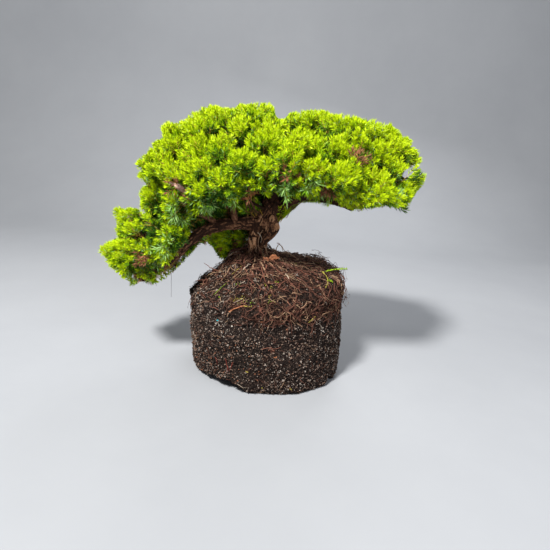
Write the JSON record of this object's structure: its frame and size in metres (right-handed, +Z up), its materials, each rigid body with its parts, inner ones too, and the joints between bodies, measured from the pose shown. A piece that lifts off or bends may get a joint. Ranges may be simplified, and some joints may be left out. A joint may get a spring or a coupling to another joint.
{
  "type": "juniper bonsai tree on a bare root ball",
  "caption": "Small juniper bonsai with a leaning trunk, a wide crown of foliage pads and a cascading bough, standing on its bare block of roots and soil.",
  "frame": {"origin": "centre of the root ball's flat underside, on the surface the bonsai stands on", "axes": "+Z up; -Y is the tree's front, towards the viewer; +X to the viewer's right along the crown's longest side, with the cascading bough going out along -X"},
  "size_m": [0.2794, 0.1586, 0.2325],
  "materials": {
    "soil": "matte",
    "bark": "matte",
    "needles": "matte"
  },
  "bodies": {
    "root": {"back_centre": "needles", "back_left": "needles", "back_left_far": "needles", "back_left_top": "needles", "back_low_left": "needles", "back_right": "needles", "back_right_far": "needles", "back_right_low": "needles", "back_right_top": "needles", "back_top": "needles", "bough_back": "bark", "bough_back_left": "bark", "bough_back_right": "bark", "bough_front": "bark", "bough_left_bend": "bark", "bough_left_front": "bark", "bough_left_high": "bark", "bough_left_inner": "bark", "bough_left_mid": "bark", "bough_left_outer": "bark", "bough_left_shoulder": "bark", "bough_right_crest": "bark", "bough_right_far": "bark", "bough_right_high": "bark", "bough_right_inner": "bark", "bough_right_mid": "bark", "bough_right_outer": "bark", "cascade_mid": "needles", "cascade_tip": "needles", "cascade_upper": "needles", "crown_centre_front": "needles", "crown_centre_top": "needles", "crown_front_bright": "needles", "crown_left_front": "needles", "crown_left_inner": "needles", "crown_left_low": "needles", "crown_left_mid": "needles", "crown_left_shoulder": "needles", "crown_left_top": "needles", "crown_right_crest": "needles", "crown_right_end": "needles", "crown_right_inner": "needles", "crown_right_low": "needles", "crown_right_mid": "needles", "crown_right_shoulder": "needles", "crown_right_tip": "needles", "crown_right_top": "needles", "leader": "bark", "limb_back_left_far": "bark", "limb_back_low_left": "bark", "limb_back_right_far": "bark", "limb_cascade_upper": "bark", "limb_left_low": "bark", "limb_left_upright": "bark", "root_ball": "soil", "trunk": "bark"}
  },
  "joints": []
}
